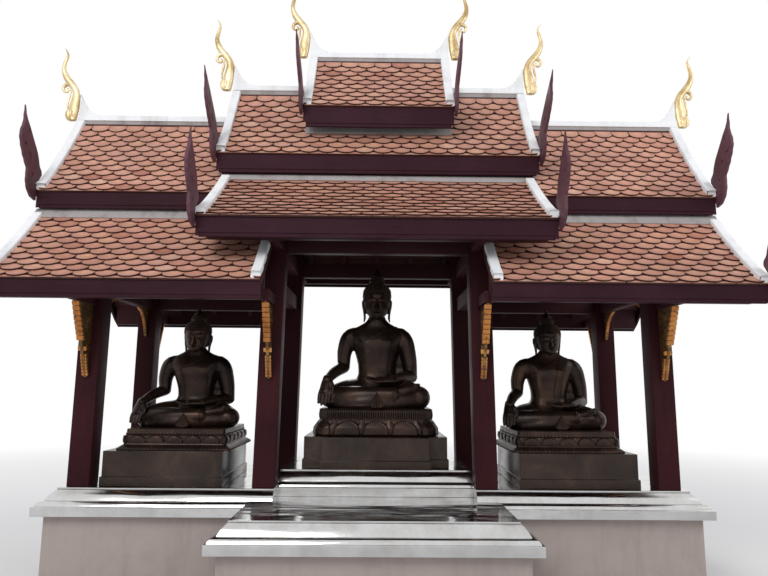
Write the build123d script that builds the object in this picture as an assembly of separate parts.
from build123d import *
import math
import os

# Temple pavilion with three seated figures, in millimetres.
# X runs along the ridges, the front faces -Y, +Z is up and the ground is Z = 0.
# The left half mirrors the right half and the back mirrors the front.

# Plinth: two wings, a raised dais between the middle posts and a low shelf in front
wing_top = 762
wing_half_depth = 900
wing_end = 2672
wing_inner = 812
dais_top = 876
dais_half_width = 811
dais_half_depth = 610
shelf_top = 676
shelf_front = 1675
shelf_half_width = 1126
wall_inset = 72

# Sheet metal cap moulding, measured down from its top
cap_height = 200
cap_projection = 132
nosing_height = 22
nosing_recess = 6
ovolo_height = 70
ovolo_reach = 64
ovolo_bulge = 13
cavetto_height = 36
cavetto_bulge = 9
fillet_width = 5

# Posts: each row leans in towards the middle by so much for a millimetre of height
post_size = 180
post_y = 640
outer_post_x = 2396
outer_post_lean = 0.005
inner_post_x = 907
inner_post_lean = 0.017

# Beams
beam_width = 100
side_tie_bottom = 2350
side_tie_height = 140
centre_tie_bottom = 2708
centre_tie_height = 150
cross_beam_width = 90
bearer_height = 130
bearer_half_length = 690
plate_width = 85
purlin_size = 80
purlin_setback = 110
side_purlin_bottom = 2240
centre_purlin_bottom = 2722
purlin_end_gap = 60
outrigger_width = 70
outrigger_height = 90
outrigger_gap = 10
rafter_width = 50
rafter_depth = 90
side_rafter_inset = 150
side_rafter_spacing = 400
side_rafter_count = 5
centre_rafter_spacing = 370
centre_rafter_count = 3
plate_end_gap = 90
plate_tie_height = 120
plate_tie_width = 100
beam_seat = 50

# Roof build-up
deck_thickness = 60
board_thickness = 30
verge_width = 78
verge_height = 42
barge_depth = 150
ridge_half_width = 60
ridge_top_half_width = 42
ridge_height = 72
horn_length = 300
horn_rise = 200
horn_width = 56
wall_board = 40
pediment_thickness = 30

# Each roof tier: the eave and top points of its tiled surface on the front side,
# the bottom of its fascia, how far the curve sags, and its inner and outer ends
lower_overhang = 10
side_upper = dict(eave_y=-655, eave_z=3258, top_y=0, top_z=4175,
                  fascia_bottom=3092, sag=30, inner=1410, outer=2985)
side_lower = dict(eave_y=-1300, eave_z=2384, top_y=-600, top_z=3060,
                  fascia_bottom=2224, sag=22, inner=880, outer=side_upper["outer"] + lower_overhang)
centre_lower = dict(eave_y=-1280, eave_z=2884, top_y=-510, top_z=3430,
                    fascia_bottom=2707.5, sag=20, inner=0, outer=1405)
centre_middle = dict(eave_y=-560, eave_z=3658, top_y=0, top_z=4513,
                     fascia_bottom=3468, sag=28, inner=0, outer=1460)
centre_top = dict(eave_y=-510, eave_z=4140, top_y=0, top_z=4878,
                  fascia_bottom=3930, sag=22, inner=0, outer=700)
top_wall_y = 315
top_wall_end = 655
flashing_width = 50
flashing_rise = 34
flashing_slope = 12
flashing_gap = 5
clearance = 0.3


def polygon(points):
    return make_face(Polyline(*points, close=True))


def along_x(face, start, end):
    # a section drawn as (Y, Z), carried from one X to another
    return Pos(start, 0, 0) * extrude(Plane.YZ * face, amount=end - start, dir=(1, 0, 0))


def along_y(face, start, end):
    # a section drawn as (X, Z), carried from one Y to another
    return Pos(0, start, 0) * extrude(Plane.XZ * face, amount=end - start, dir=(0, 1, 0))


def block(x_low, x_high, y_low, y_high, z_low, z_high):
    size = (x_high - x_low, y_high - y_low, z_high - z_low)
    middle = ((x_low + x_high) / 2, (y_low + y_high) / 2, (z_low + z_high) / 2)
    return Pos(*middle) * Box(*size)


def solids_of(shapes):
    found = []
    for shape in shapes:
        found.extend(shape.solids())
    return found


def front_and_back(shapes):
    solids = solids_of(shapes)
    return solids + [mirror(solid, about=Plane.XZ) for solid in solids]


def left_and_right(shapes):
    solids = solids_of(shapes)
    return solids + [mirror(solid, about=Plane.YZ) for solid in solids]


def cut_by(shape, tools):
    for tool in tools:
        shape = shape - tool
    return shape


class Slope:
    # One tiled slope: an arc that sags below the straight line from eave to top.
    # Lift is measured square to the tiled surface, up is positive.
    def __init__(self, tier):
        self.eave_y = tier["eave_y"]
        self.top_y = tier["top_y"]
        rise = tier["top_z"] - tier["eave_z"]
        run = tier["top_y"] - tier["eave_y"]
        chord = math.hypot(rise, run)
        sag = tier["sag"]
        self.radius = (chord ** 2 / 4 + sag ** 2) / (2 * sag)
        offset = (self.radius - sag) / chord
        self.centre_y = (tier["eave_y"] + tier["top_y"]) / 2 - rise * offset
        self.centre_z = (tier["eave_z"] + tier["top_z"]) / 2 + run * offset

    def height(self, y, lift=0):
        radius = self.radius - lift
        return self.centre_z - math.sqrt(radius ** 2 - (y - self.centre_y) ** 2)

    def arc(self, y_start, y_end, lift):
        middle = (y_start + y_end) / 2
        points = [(y, self.height(y, lift)) for y in (y_start, middle, y_end)]
        return ThreePointArc(*points)

    def section(self, y_start, y_end, low, high):
        lower = self.arc(y_start, y_end, low)
        upper = self.arc(y_start, y_end, high)
        return make_face([lower, upper, Line(lower @ 0, upper @ 0), Line(lower @ 1, upper @ 1)])


def under_slope(slope, y_start, y_end, bottom, lift):
    # the upright face between a level or a lower roof and this slope
    upper = slope.arc(y_start, y_end, lift)
    if isinstance(bottom, Slope):
        lower = bottom.arc(y_start, y_end, 0)
    else:
        lower = Line((y_start, bottom), (y_end, bottom))
    return make_face([lower, upper, Line(lower @ 0, upper @ 0), Line(lower @ 1, upper @ 1)])


def slope_deck(tier):
    slope = Slope(tier)
    face = slope.section(slope.eave_y + board_thickness, slope.top_y, -deck_thickness, 0)
    start = tier["inner"]
    end = tier["outer"] - board_thickness
    if start == 0:
        start = -end
    return along_x(face, start, end)


def eave_fascia(tier):
    slope = Slope(tier)
    front = slope.eave_y
    face = under_slope(slope, front, front + board_thickness, tier["fascia_bottom"], 0)
    start = tier["inner"]
    end = tier["outer"] - board_thickness
    if start == 0:
        start = -end
    return along_x(face, start, end)


def barge_board(tier):
    slope = Slope(tier)
    face = slope.section(slope.eave_y, slope.top_y, -barge_depth, 0)
    board = along_x(face, tier["outer"] - board_thickness, tier["outer"])
    below = block(tier["outer"] - 2 * board_thickness, tier["outer"] + board_thickness,
                  tier["eave_y"] - board_thickness, tier["top_y"],
                  tier["fascia_bottom"] - 2 * barge_depth, tier["fascia_bottom"])
    return board - below


def verge(tier, outer, upper_end):
    slope = Slope(tier)
    face = slope.section(slope.eave_y, upper_end, 0, verge_height)
    return along_x(face, outer - verge_width, outer)


def ridge_cap(tier, start, end):
    slope = Slope(tier)
    top = tier["top_z"] + ridge_height
    low = slope.height(-ridge_half_width)
    shoulder = slope.height(-ridge_half_width, verge_height)
    right = [(ridge_half_width, low), (ridge_half_width, shoulder), (ridge_top_half_width, top)]
    left = [(-y, z) for y, z in reversed(right)]
    return along_x(polygon([(0, tier["top_z"])] + right + left), start, end)


def ridge_horn(tier):
    # the white end of a ridge sweeps up to meet the finial
    top = tier["top_z"] + ridge_height
    end = tier["outer"]
    start = end - horn_length
    sweep = Spline((start, top + 4), (end - 0.45 * horn_length, top + 0.16 * horn_rise),
                   (end, top + horn_rise), tangents=[(1, 0), (0.6, 1)])
    outline = [sweep, Line((start, top + 4), (start, top)), Line((start, top), (end, top)),
               Line((end, top), (end, top + horn_rise))]
    return along_y(make_face(outline), -horn_width / 2, horn_width / 2)


# Finial at each ridge end: reach outward from the ridge end and height above the ridge line
finial_width = 50
finial_seat = [(0, 60), (0, 240)]
finial_inner = [(0, 240), (20, 330), (75, 420), (143, 500), (173, 586),
                (160, 675), (165, 735), (178, 790), (170, 822)]
finial_outer = [(170, 822), (197, 785), (191, 735), (196, 680), (222, 580), (195, 480),
                (130, 390), (88, 335), (76, 260), (74, 200), (104, 100), (112, 10), (60, -50)]
finial_foot = [(60, -50), (16, -20), (0, 60)]
finial_knob = (128, 312)
finial_knob_size = (58, 42)


def finial(tier):
    body = make_face([Line(*finial_seat),
                      Spline(*finial_inner, tangents=[(0, 1), (-0.3, 1)]),
                      Spline(*finial_outer),
                      Spline(*finial_foot, tangents=[(-1, 0), (0, 1)])])
    knob = Pos(*finial_knob) * Ellipse(*finial_knob_size)
    outline = Pos(tier["outer"], tier["top_z"]) * (body + knob)
    return along_y(outline, -finial_width / 2, finial_width / 2)


# Flame-shaped blade at each eave corner: reach out past the fascia and height above the eave
blade_thickness = 38
blade_outer = [(-6, -96), (78, -70), (155, -5), (178, 75), (177, 139), (252, 200), (297, 283),
               (321, 348), (316, 413), (283, 478), (274, 540), (258, 664)]
blade_inner = [(258, 664), (246, 610), (224, 567), (193, 541), (154, 506), (98, 438), (29, 374),
               (-6, 295), (-29, 224), (-71, 186), (-65, 144)]
blade_foot = [(-65, 144), (-6, 60), (-6, -96)]
top_blade_scale = 0.88


def eave_blade(tier, size=1.0):
    shape = make_face([Spline(*blade_outer), Spline(*blade_inner), Polyline(*blade_foot)])
    flipped = scale(mirror(shape, about=Plane.YZ), by=size)
    return along_x(Pos(tier["eave_y"], tier["eave_z"]) * flipped,
                   tier["outer"], tier["outer"] + blade_thickness)


def moulded_side(edge, sign, top):
    # cap moulding from the top down: nosing, ovolo, fillet, cavetto, fascia
    nose = edge - sign * cap_projection
    ovolo_start = (nose - sign * nosing_recess, top - nosing_height)
    ovolo_end = (nose + sign * ovolo_reach, top - nosing_height - ovolo_height)
    ovolo_middle = ((ovolo_start[0] + ovolo_end[0]) / 2 + sign * ovolo_bulge,
                    (ovolo_start[1] + ovolo_end[1]) / 2 + ovolo_bulge)
    flare_start = (ovolo_end[0] + sign * fillet_width, ovolo_end[1])
    flare_end = (edge, flare_start[1] - cavetto_height)
    flare_middle = ((flare_start[0] + flare_end[0]) / 2 - sign * cavetto_bulge / 2,
                    (flare_start[1] + flare_end[1]) / 2 - cavetto_bulge)
    return [Polyline((nose, top), (nose, top - nosing_height), ovolo_start),
            ThreePointArc(ovolo_start, ovolo_middle, ovolo_end),
            Line(ovolo_end, flare_start),
            ThreePointArc(flare_start, flare_middle, flare_end),
            Line(flare_end, (edge, top - cap_height))]


def plain_side(edge, top):
    return [Line((edge, top), (edge, top - cap_height))]


def cap_section(low_side, high_side, top):
    edges = low_side + high_side
    edges.append(Line(low_side[0] @ 0, high_side[0] @ 0))
    edges.append(Line(low_side[-1] @ 1, high_side[-1] @ 1))
    return make_face(edges)


side_lower_slope = Slope(side_lower)
side_upper_slope = Slope(side_upper)
centre_lower_slope = Slope(centre_lower)
centre_middle_slope = Slope(centre_middle)
centre_top_slope = Slope(centre_top)

# Posts
post_front_face = -post_y - post_size / 2
outer_post_top = side_lower_slope.height(post_front_face, -deck_thickness) - clearance
bearer_top = centre_lower_slope.height(-bearer_half_length, -deck_thickness) - clearance
inner_post_top = bearer_top - bearer_height


def post(x, lean, top):
    shift = lean * (top - wing_top)
    half = post_size / 2
    face = polygon([(x - half, wing_top), (x + half, wing_top),
                    (x + half - shift, top), (x - half - shift, top)])
    return along_y(face, -post_y - half, -post_y + half)


def outer_post_at(z):
    return outer_post_x - outer_post_lean * (z - wing_top)


def inner_post_at(z):
    return inner_post_x - inner_post_lean * (z - wing_top)


outer_posts = left_and_right(front_and_back([post(outer_post_x, outer_post_lean, outer_post_top)]))
inner_posts = left_and_right(front_and_back([post(inner_post_x, inner_post_lean, inner_post_top)]))
posts = outer_posts + inner_posts

# Plinth walls and caps
wing_wall = block(wing_inner, wing_end - wall_inset, wall_inset - wing_half_depth,
                  wing_half_depth - wall_inset, 0, wing_top - cap_height)
dais_wall = block(-dais_half_width, dais_half_width, wall_inset - dais_half_depth,
                  dais_half_depth - wall_inset, 0, dais_top - cap_height)
shelf_wall = block(wall_inset - shelf_half_width, shelf_half_width - wall_inset,
                   wall_inset - shelf_front, wall_inset - wing_half_depth, 0, shelf_top - cap_height)

wing_lengthwise = along_x(cap_section(moulded_side(-wing_half_depth, -1, wing_top),
                                      moulded_side(wing_half_depth, 1, wing_top), wing_top),
                          wing_inner, wing_end)
wing_crosswise = along_y(cap_section(plain_side(wing_inner, wing_top),
                                     moulded_side(wing_end, 1, wing_top), wing_top),
                         -wing_half_depth, wing_half_depth)
wing_cap = wing_lengthwise & wing_crosswise
dais_cap = along_x(cap_section(moulded_side(-dais_half_depth, -1, dais_top),
                               moulded_side(dais_half_depth, 1, dais_top), dais_top),
                   -dais_half_width, dais_half_width)
shelf_back = wall_inset - dais_half_depth
shelf_lengthwise = along_x(cap_section(moulded_side(-shelf_front, -1, shelf_top),
                                       plain_side(shelf_back, shelf_top), shelf_top),
                           -shelf_half_width, shelf_half_width)
shelf_crosswise = along_y(cap_section(moulded_side(-shelf_half_width, -1, shelf_top),
                                      moulded_side(shelf_half_width, 1, shelf_top), shelf_top),
                          -shelf_front, shelf_back)
wing_caps = left_and_right([wing_cap])
wing_walls = left_and_right([wing_wall])
shelf_cap = cut_by(shelf_lengthwise & shelf_crosswise, wing_caps + wing_walls + [dais_wall])

# Beams between the posts
side_tie = block(inner_post_x, outer_post_x, -post_y - beam_width / 2, -post_y + beam_width / 2,
                 side_tie_bottom, side_tie_bottom + side_tie_height)
side_ties = left_and_right(front_and_back([cut_by(side_tie, posts)]))
centre_tie = block(-inner_post_x + beam_seat, inner_post_x - beam_seat, -post_y - beam_width / 2,
                   -post_y + beam_width / 2, centre_tie_bottom, centre_tie_bottom + centre_tie_height)
centre_ties = front_and_back([cut_by(centre_tie, posts)])
post_inner_face = post_y - post_size / 2


def cross_beam(middle, bottom, height):
    return block(middle - cross_beam_width / 2, middle + cross_beam_width / 2,
                 -post_inner_face, post_inner_face, bottom, bottom + height)


cross_beams = left_and_right([
    cross_beam(outer_post_at(side_tie_bottom + side_tie_height / 2), side_tie_bottom, side_tie_height),
    cross_beam(inner_post_at(side_tie_bottom + side_tie_height / 2), side_tie_bottom, side_tie_height),
    cross_beam(inner_post_at(centre_tie_bottom + centre_tie_height / 2), centre_tie_bottom,
               centre_tie_height)])
bearer_x = inner_post_at(inner_post_top)
bearer_half_width = 60
bearers = left_and_right([block(bearer_x - bearer_half_width, bearer_x + bearer_half_width,
                                -bearer_half_length, bearer_half_length, inner_post_top, bearer_top)])

# Roof decks, fascias, barge boards and white verges
side_lower_deck = cut_by(slope_deck(side_lower), inner_posts + bearers)
side_lower_decks = left_and_right(front_and_back([side_lower_deck]))
side_upper_decks = left_and_right(front_and_back([slope_deck(side_upper)]))
centre_lower_decks = front_and_back([slope_deck(centre_lower)])
centre_middle_decks = front_and_back([slope_deck(centre_middle)])
centre_top_decks = front_and_back([slope_deck(centre_top)])

side_lower_fascias = left_and_right(front_and_back([eave_fascia(side_lower)]))
side_upper_fascias = left_and_right(front_and_back([eave_fascia(side_upper)]))
centre_lower_fascias = front_and_back([eave_fascia(centre_lower)])
centre_middle_fascias = front_and_back([eave_fascia(centre_middle)])
centre_top_fascias = front_and_back([eave_fascia(centre_top)])

side_lower_barges = left_and_right(front_and_back([barge_board(side_lower)]))
side_upper_barges = left_and_right(front_and_back([barge_board(side_upper)]))
centre_middle_barges = left_and_right(front_and_back([barge_board(centre_middle)]))
centre_top_barges = left_and_right(front_and_back([barge_board(centre_top)]))

inner_verge = verge(side_lower, side_lower["inner"] + verge_width, post_front_face - clearance)
side_lower_verges = left_and_right(front_and_back([
    verge(side_lower, side_lower["outer"], side_upper["eave_y"] - clearance), inner_verge]))
side_upper_verges = left_and_right(front_and_back([
    verge(side_upper, side_upper["outer"], -ridge_half_width)]))
centre_lower_verges = left_and_right(front_and_back([
    verge(centre_lower, centre_lower["outer"], centre_middle["eave_y"] - clearance)]))
centre_middle_verges = left_and_right(front_and_back([
    verge(centre_middle, centre_middle["outer"], -ridge_half_width)]))
centre_top_verges = left_and_right(front_and_back([
    verge(centre_top, centre_top["outer"], -ridge_half_width)]))

# Ridges, horns and finials
side_ridges = left_and_right([ridge_cap(side_upper, centre_middle["outer"] + clearance,
                                        side_upper["outer"])])
middle_ridges = left_and_right([ridge_cap(centre_middle, centre_top["outer"] + clearance,
                                          centre_middle["outer"])])
top_ridge = [ridge_cap(centre_top, -centre_top["outer"], centre_top["outer"])]
horns = left_and_right([ridge_horn(side_upper), ridge_horn(centre_middle), ridge_horn(centre_top)])
finials = left_and_right([finial(side_upper), finial(centre_middle), finial(centre_top)])

# Plates and walls that carry the upper roofs
plate_front = side_lower["top_y"]
plate_back = plate_front + plate_width
plate_face = under_slope(side_upper_slope, plate_front, plate_back, outer_post_top, -deck_thickness)
side_plate = cut_by(along_x(plate_face, inner_post_x + beam_seat, side_upper["outer"] - plate_end_gap),
                    posts + bearers)
side_plates = left_and_right(front_and_back([side_plate]))
centre_lower_barges = left_and_right(front_and_back([cut_by(barge_board(centre_lower), [side_plate])]))

middle_front = centre_lower["top_y"]
middle_back = middle_front + wall_board
middle_face = under_slope(centre_middle_slope, middle_front, middle_back, bearer_top, -deck_thickness)
middle_end = side_upper["inner"]
middle_walls = front_and_back([along_x(middle_face, -middle_end, middle_end)])

top_front = -top_wall_y
top_back = top_front + wall_board
top_face = under_slope(centre_top_slope, top_front, top_back, centre_middle_slope, -deck_thickness)
top_walls = front_and_back([along_x(top_face, -top_wall_end, top_wall_end)])


def flashing_face(lower_slope, back):
    # a mortar strip of even height along the foot of a wall
    front = back - flashing_width
    return polygon([(front, lower_slope.height(front)), (back, lower_slope.height(back)),
                    (back, lower_slope.height(back) + flashing_rise),
                    (front + flashing_slope, lower_slope.height(front) + flashing_rise)])


side_flashing = along_x(flashing_face(side_lower_slope, plate_front),
                        centre_lower["outer"] + flashing_gap, side_lower["outer"] - verge_width)
centre_flashing = along_x(flashing_face(centre_lower_slope, middle_front),
                          verge_width - centre_lower["outer"], centre_lower["outer"] - verge_width)
top_flashing = along_x(flashing_face(centre_middle_slope, top_front), -top_wall_end, top_wall_end)
flashings = front_and_back(left_and_right([side_flashing]) + [centre_flashing, top_flashing])

# Boarded gable panels: the two lower ones are whole, the top one is a front and a back half
def half_panel(slope, edge, bottom, x_end):
    return along_x(under_slope(slope, edge, 0, bottom, -deck_thickness),
                   x_end - pediment_thickness, x_end)


plate_tie_x = outer_post_at(outer_post_top)
plate_ties = left_and_right([block(plate_tie_x - plate_tie_width / 2, plate_tie_x + plate_tie_width / 2,
                                   plate_back, -plate_back,
                                   outer_post_top, outer_post_top + plate_tie_height)])
side_half = half_panel(side_upper_slope, plate_back, outer_post_top + plate_tie_height,
                       plate_tie_x + pediment_thickness / 2)
middle_half = half_panel(centre_middle_slope, middle_back, bearer_top, middle_end)
top_half = half_panel(centre_top_slope, top_back, centre_middle_slope, top_wall_end)
side_panels = left_and_right([side_half + mirror(side_half, about=Plane.XZ)])
middle_panels = left_and_right([middle_half + mirror(middle_half, about=Plane.XZ)])
top_panels = left_and_right(front_and_back([top_half]))

# Brackets on the posts: reach out from the face of the post, and height above the ground
bracket_width = 50
eave_bracket_outline = [(0, 1640), (28, 1640), (60, 1720), (100, 1818), (112, 1824), (124, 1866),
                        (140, 1878), (164, 1935), (204, 2020), (240, 2098), (286, 2205), (300, 2240),
                        (0, 2240)]
inner_bracket_outline = [(0, 2070), (20, 2070), (60, 2160), (108, 2242), (178, 2304), (262, 2336),
                         (262, side_tie_bottom), (0, side_tie_bottom)]


def bracket(middle, outline, face, direction):
    shape = polygon([(face + direction * out, z) for out, z in outline])
    return along_x(shape, middle - bracket_width / 2, middle + bracket_width / 2)


bracket_heights = [z for out, z in eave_bracket_outline]
bracket_middle_z = (min(bracket_heights) + max(bracket_heights)) / 2
eave_brackets = [bracket(outer_post_at(bracket_middle_z), eave_bracket_outline, post_front_face, -1),
                 bracket(inner_post_at(bracket_middle_z), eave_bracket_outline, post_front_face, -1)]
inner_bracket = bracket(outer_post_at(side_tie_bottom), inner_bracket_outline, -post_inner_face, 1)
brackets = left_and_right(front_and_back(eave_brackets + [inner_bracket]))

# Eave purlins and the outriggers that carry them
def eave_purlin(tier, bottom, start, end):
    slope = Slope(tier)
    front = tier["eave_y"] + purlin_setback
    face = under_slope(slope, front, front + purlin_size, bottom, -deck_thickness)
    return along_x(face, start, end)


side_purlins = left_and_right(front_and_back([
    eave_purlin(side_lower, side_purlin_bottom, side_lower["inner"],
                side_lower["outer"] - purlin_end_gap)]))
centre_purlins = front_and_back([
    eave_purlin(centre_lower, centre_purlin_bottom, purlin_end_gap - centre_lower["outer"],
                centre_lower["outer"] - purlin_end_gap)])


def outrigger(middle, tier, bottom):
    return block(middle - outrigger_width / 2, middle + outrigger_width / 2,
                 tier["eave_y"] + purlin_setback + purlin_size, post_front_face,
                 bottom, bottom + outrigger_height)


centre_outrigger_x = side_lower["inner"] - outrigger_gap - outrigger_width / 2
outriggers = left_and_right(front_and_back([
    outrigger(outer_post_at(side_purlin_bottom), side_lower, side_purlin_bottom),
    outrigger(inner_post_at(side_purlin_bottom), side_lower, side_purlin_bottom),
    outrigger(centre_outrigger_x, centre_lower, centre_purlin_bottom)]))


# Rafters run up under the boarding from the eave purlin to the plate or the wall behind it
def rafter(tier, middle):
    slope = Slope(tier)
    start = tier["eave_y"] + purlin_setback + purlin_size
    face = slope.section(start, tier["top_y"], -deck_thickness - rafter_depth, -deck_thickness)
    return along_x(face, middle - rafter_width / 2, middle + rafter_width / 2)


first_side_rafter = side_lower["inner"] + side_rafter_inset
side_rafters = left_and_right(front_and_back([
    rafter(side_lower, first_side_rafter + side_rafter_spacing * step)
    for step in range(side_rafter_count)]))
centre_rafters = front_and_back([
    cut_by(rafter(centre_lower, centre_rafter_spacing * step), side_plates)
    for step in range(-centre_rafter_count, centre_rafter_count + 1)])

# Blades at the eave corners
blades = left_and_right(front_and_back([
    eave_blade(side_lower), eave_blade(side_upper), eave_blade(centre_lower),
    eave_blade(centre_middle), eave_blade(centre_top, top_blade_scale)]))

# Pedestals under the figures: a deeper block with a narrower one in front, on a low ledge
ledge_height = 74
ledge_reach = 12
centre_pedestal_size = dict(width=1250, front_width=925, front=-500, step=130, back=560,
                            bottom=dais_top, top=1140)
side_pedestal_size = dict(width=970, front_width=970, front=-690, step=200, back=300,
                          bottom=wing_top, top=1040)
left_pedestal_x = -1743
right_pedestal_x = 1675


def pedestal_block(size, grow, top):
    half = size["width"] / 2 + grow
    front_half = size["front_width"] / 2 + grow
    front = size["front"] - grow
    wide = block(-half, half, front + size["step"], size["back"] + grow, size["bottom"], top)
    narrow = block(-front_half, front_half, front, front + size["step"], size["bottom"], top)
    return wide + narrow


def pedestal(x, size):
    shape = pedestal_block(size, 0, size["top"])
    shape = shape + pedestal_block(size, ledge_reach, size["bottom"] + ledge_height)
    return Pos(x, 0, 0) * shape.solids()[0]


centre_pedestal = pedestal(0, centre_pedestal_size)
side_pedestals = [pedestal(left_pedestal_x, side_pedestal_size),
                  pedestal(right_pedestal_x, side_pedestal_size)]

# Lotus bases: width at each height above the pedestal, drawn up from the bottom
centre_lotus = [(0, 1085), (18, 1116), (75, 1104), (128, 1040), (150, 1036), (228, 1036), (240, 1016)]
side_lotus = [(0, 966), (16, 960), (44, 886), (60, 873), (118, 868), (124, 852), (170, 846)]
centre_lotus_slim = 300
side_lotus_slim = 20
centre_lotus_corner = 150
side_lotus_corner = 48


def lotus_base(levels, slim, corner):
    # rounded rectangles, each "slim" less deep than it is wide, joined by straight faces
    rings = [Pos(0, 0, z) * RectangleRounded(width, width - slim, corner) for z, width in levels]
    base = loft(rings[:2], ruled=True)
    for lower, upper in zip(rings[1:-1], rings[2:]):
        base = base + loft([lower, upper], ruled=True)
    return base


# Seated figure, drawn at the size of the middle one with its seat at Z = 0.
# Each limb is a tapered round bar with ball ends: start, end, start radius, end radius.
def limb(start, end, start_radius, end_radius):
    reach = Vector(*end) - Vector(*start)
    tilt = math.asin((start_radius - end_radius) / reach.length)
    low_middle = (tilt - math.pi / 2) / 2
    high_middle = (tilt + math.pi / 2) / 2
    low_end = (start_radius * math.cos(tilt), start_radius * math.sin(tilt))
    high_start = (end_radius * math.cos(tilt), reach.length + end_radius * math.sin(tilt))
    low_point = (0, -start_radius)
    high_point = (0, reach.length + end_radius)
    low_arc = ThreePointArc(low_point, (start_radius * math.cos(low_middle),
                                        start_radius * math.sin(low_middle)), low_end)
    high_arc = ThreePointArc(high_start, (end_radius * math.cos(high_middle),
                                          reach.length + end_radius * math.sin(high_middle)), high_point)
    profile = make_face([low_arc, Line(low_end, high_start), high_arc, Line(high_point, low_point)])
    return Plane(origin=start, z_dir=reach) * revolve(Plane.XZ * profile, Axis.Z)


def oval(middle, radii):
    return Pos(*middle) * scale(Sphere(1), by=radii)


leg_limbs = [
    ((-150, 60, 150), (-386, -190, 118), 150, 112),
    ((150, 60, 150), (386, -190, 118), 150, 112),
    ((-386, -190, 112), (230, -330, 150), 104, 70),
    ((386, -190, 105), (-200, -330, 85), 100, 72)]
shoulder = (243, 30, 690)
elbow_height = 450
right_wrist_height = 285
lap_wrist = (120, -215, 275)
lap_hand = (-50, -255, 268)
neck_limb = ((0, 20, 780), (0, 10, 900), 74, 66)
body_ovals = [
    ((0, 60, 215), (290, 200, 190)),
    ((0, 50, 420), (178, 135, 240)),
    ((0, 40, 640), (265, 146, 165)),
    ((0, -8, 985), (104, 116, 150)),
    ((0, 18, 1040), (116, 126, 118)),
    ((0, 18, 1150), (62, 62, 60)),
    ((-114, 28, 925), (17, 30, 105)),
    ((114, 28, 925), (17, 30, 105))]
flame_foot = (0, 18, 1195)
flame_radius = 40
flame_tip_radius = 6
flame_height = 105
seat_sink = 24
figure_reach = 1000


def arm_limbs(elbow_x, wrist_x, fingers_x):
    # the right hand reaches down over the knee, the left hand lies in the lap
    x, y, z = shoulder
    right_wrist = (-wrist_x, -190, right_wrist_height)
    return [((-x, y, z), (-elbow_x, 50, elbow_height), 76, 60),
            ((x, y, z), (elbow_x, 50, elbow_height), 76, 60),
            ((-elbow_x, 50, elbow_height), right_wrist, 59, 42),
            ((elbow_x, 50, elbow_height), lap_wrist, 59, 42),
            (right_wrist, (-fingers_x, -286, 142), 42, 30),
            (lap_wrist, lap_hand, 40, 30)]


def seated_figure(elbow_x, wrist_x, fingers_x):
    pieces = [oval(middle, radii) for middle, radii in body_ovals]
    limbs = leg_limbs + arm_limbs(elbow_x, wrist_x, fingers_x) + [neck_limb]
    pieces.extend([limb(*measures) for measures in limbs])
    pieces.append(Pos(*flame_foot) * Cone(flame_radius, flame_tip_radius, flame_height,
                                          align=(Align.CENTER, Align.CENTER, Align.MIN)))
    body = pieces[0]
    for piece in pieces[1:]:
        body = body + piece
    body = Pos(0, 0, -seat_sink) * body
    return body - block(-figure_reach, figure_reach, -figure_reach, figure_reach, -figure_reach, 0)


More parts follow.
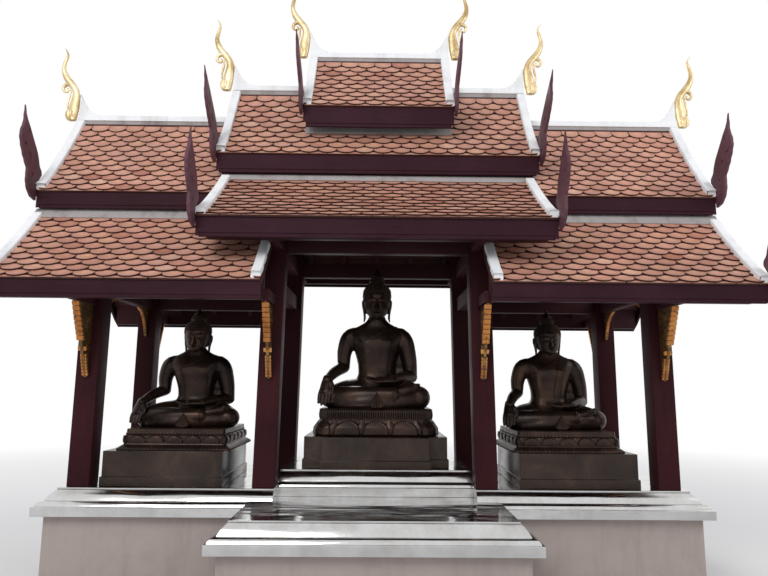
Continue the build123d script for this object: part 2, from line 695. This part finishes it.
# The middle figure, and the two smaller ones on their own pedestals
centre_figure_y = 40
side_figure_y = -75
side_lotus_y = -185
side_scale = 0.88
centre_figure_reach = dict(elbow_x=312, wrist_x=425, fingers_x=462)
side_figure_reach = dict(elbow_x=280, wrist_x=350, fingers_x=398)
left_figure_x = -1678
right_figure_x = 1612
centre_base = lotus_base(centre_lotus, centre_lotus_slim, centre_lotus_corner)
centre_seat = centre_pedestal_size["top"] + centre_lotus[-1][0]
centre_image = (Pos(0, centre_figure_y, centre_pedestal_size["top"]) * centre_base
                + Pos(0, centre_figure_y, centre_seat) * seated_figure(**centre_figure_reach))
side_base = lotus_base(side_lotus, side_lotus_slim, side_lotus_corner)
side_figure = scale(seated_figure(**side_figure_reach), by=side_scale)
side_image = (Pos(0, side_lotus_y, side_pedestal_size["top"]) * side_base
              + Pos(0, side_figure_y, side_pedestal_size["top"] + side_lotus[-1][0]) * side_figure)
side_images = [Pos(left_figure_x, 0, 0) * side_image, Pos(right_figure_x, 0, 0) * side_image]

nodes = {
    "plinth_wings": wing_walls,
    "plinth_dais": [dais_wall],
    "plinth_shelf": [shelf_wall],
    "wing_caps": wing_caps,
    "dais_cap": [dais_cap],
    "shelf_cap": [shelf_cap],
    "outer_posts": outer_posts,
    "inner_posts": inner_posts,
    "side_tie_beams": side_ties,
    "centre_tie_beams": centre_ties,
    "cross_beams": cross_beams,
    "bearers": bearers,
    "side_lower_decks": side_lower_decks,
    "side_upper_decks": side_upper_decks,
    "centre_lower_decks": centre_lower_decks,
    "centre_middle_decks": centre_middle_decks,
    "centre_top_decks": centre_top_decks,
    "side_lower_boards": side_lower_fascias + side_lower_barges,
    "side_upper_boards": side_upper_fascias + side_upper_barges,
    "centre_lower_boards": centre_lower_fascias + centre_lower_barges,
    "centre_middle_boards": centre_middle_fascias + centre_middle_barges,
    "centre_top_boards": centre_top_fascias + centre_top_barges,
    "side_lower_verges": side_lower_verges,
    "side_upper_verges": side_upper_verges,
    "centre_lower_verges": centre_lower_verges,
    "centre_middle_verges": centre_middle_verges,
    "centre_top_verges": centre_top_verges,
    "ridge_caps": side_ridges + middle_ridges + top_ridge,
    "ridge_horns": horns,
    "finials": finials,
    "side_plates": side_plates,
    "plate_ties": plate_ties,
    "gable_panels": side_panels + middle_panels + top_panels,
    "middle_walls": middle_walls,
    "top_walls": top_walls,
    "flashings": flashings,
    "eave_brackets": brackets,
    "eave_purlins": side_purlins + centre_purlins,
    "outriggers": outriggers,
    "rafters": side_rafters + centre_rafters,
    "eave_blades": blades,
    "centre_pedestal": [centre_pedestal],
    "side_pedestals": side_pedestals,
    "centre_image": [centre_image],
    "side_images": side_images,
}

os.makedirs("parts", exist_ok=True)
for name, shapes in nodes.items():
    found = solids_of(shapes)
    export_step(Compound(found) if len(found) > 1 else found[0], f"parts/{name}.step")
    print(name, len(found))
